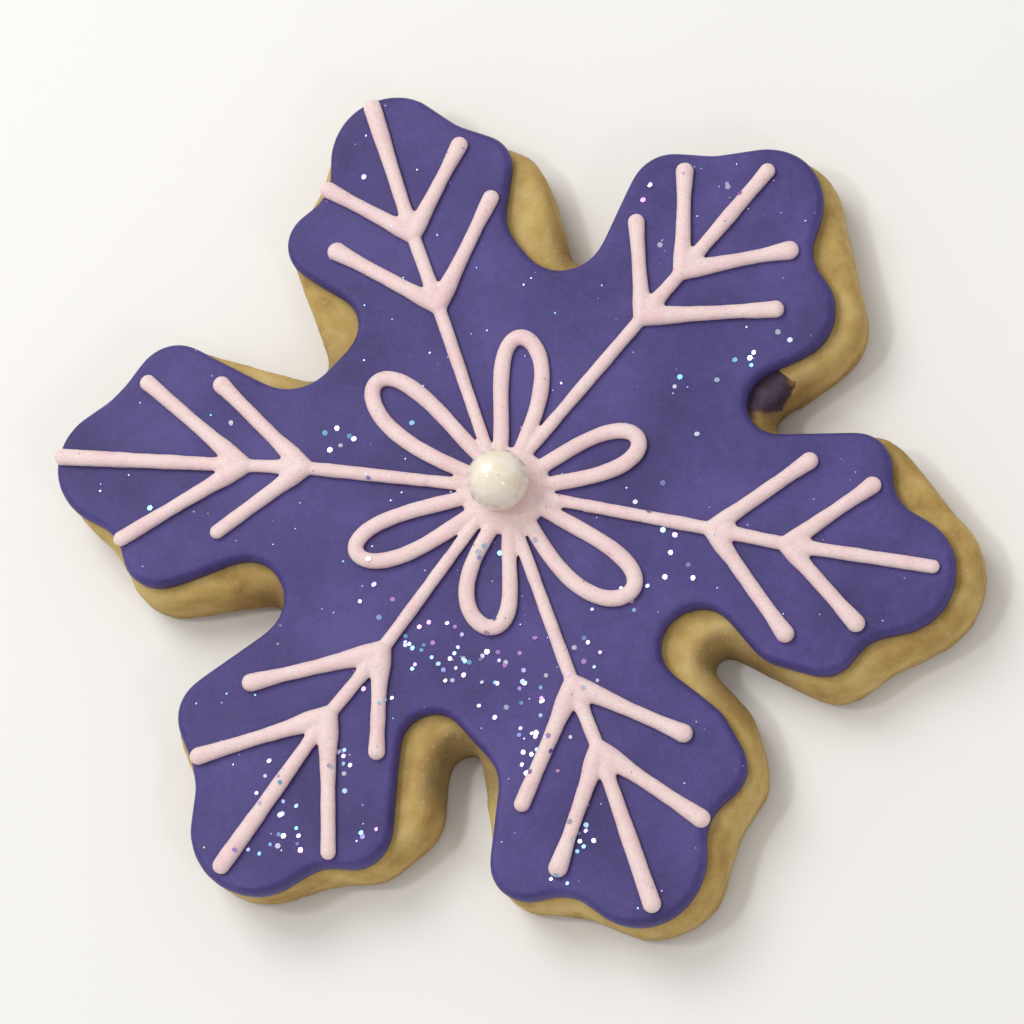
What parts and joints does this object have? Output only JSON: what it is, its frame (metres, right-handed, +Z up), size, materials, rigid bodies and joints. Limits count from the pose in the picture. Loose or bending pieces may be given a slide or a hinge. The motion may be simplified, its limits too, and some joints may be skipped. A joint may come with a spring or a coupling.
{
  "type": "iced sugar cookie",
  "caption": "Snowflake-shaped sugar cookie with a flooded icing top, piped sprays on each arm and a piped flower round a sugar pearl.",
  "frame": {"origin": "middle of the flat underside of the dough", "axes": "+Z up out of the iced face; +X along the arm that points to the picture's right; +Y towards the notch at the picture's top"},
  "size_m": [0.1086, 0.0968, 0.0164],
  "materials": {
    "baked_dough": "dry baked crumb",
    "flood_icing": "satin set sugar icing",
    "piped_icing": "satin piped sugar icing",
    "sugar_pearl": "pearly sugar shell",
    "glitter": "shiny edible glitter flakes"
  },
  "bodies": {
    "root": {"dough": "baked_dough", "icing": "flood_icing", "spray_0": "piped_icing", "spray_60": "piped_icing", "spray_120": "piped_icing", "spray_180": "piped_icing", "spray_240": "piped_icing", "spray_300": "piped_icing", "flower": "piped_icing", "pearl": "sugar_pearl"}
  },
  "joints": []
}
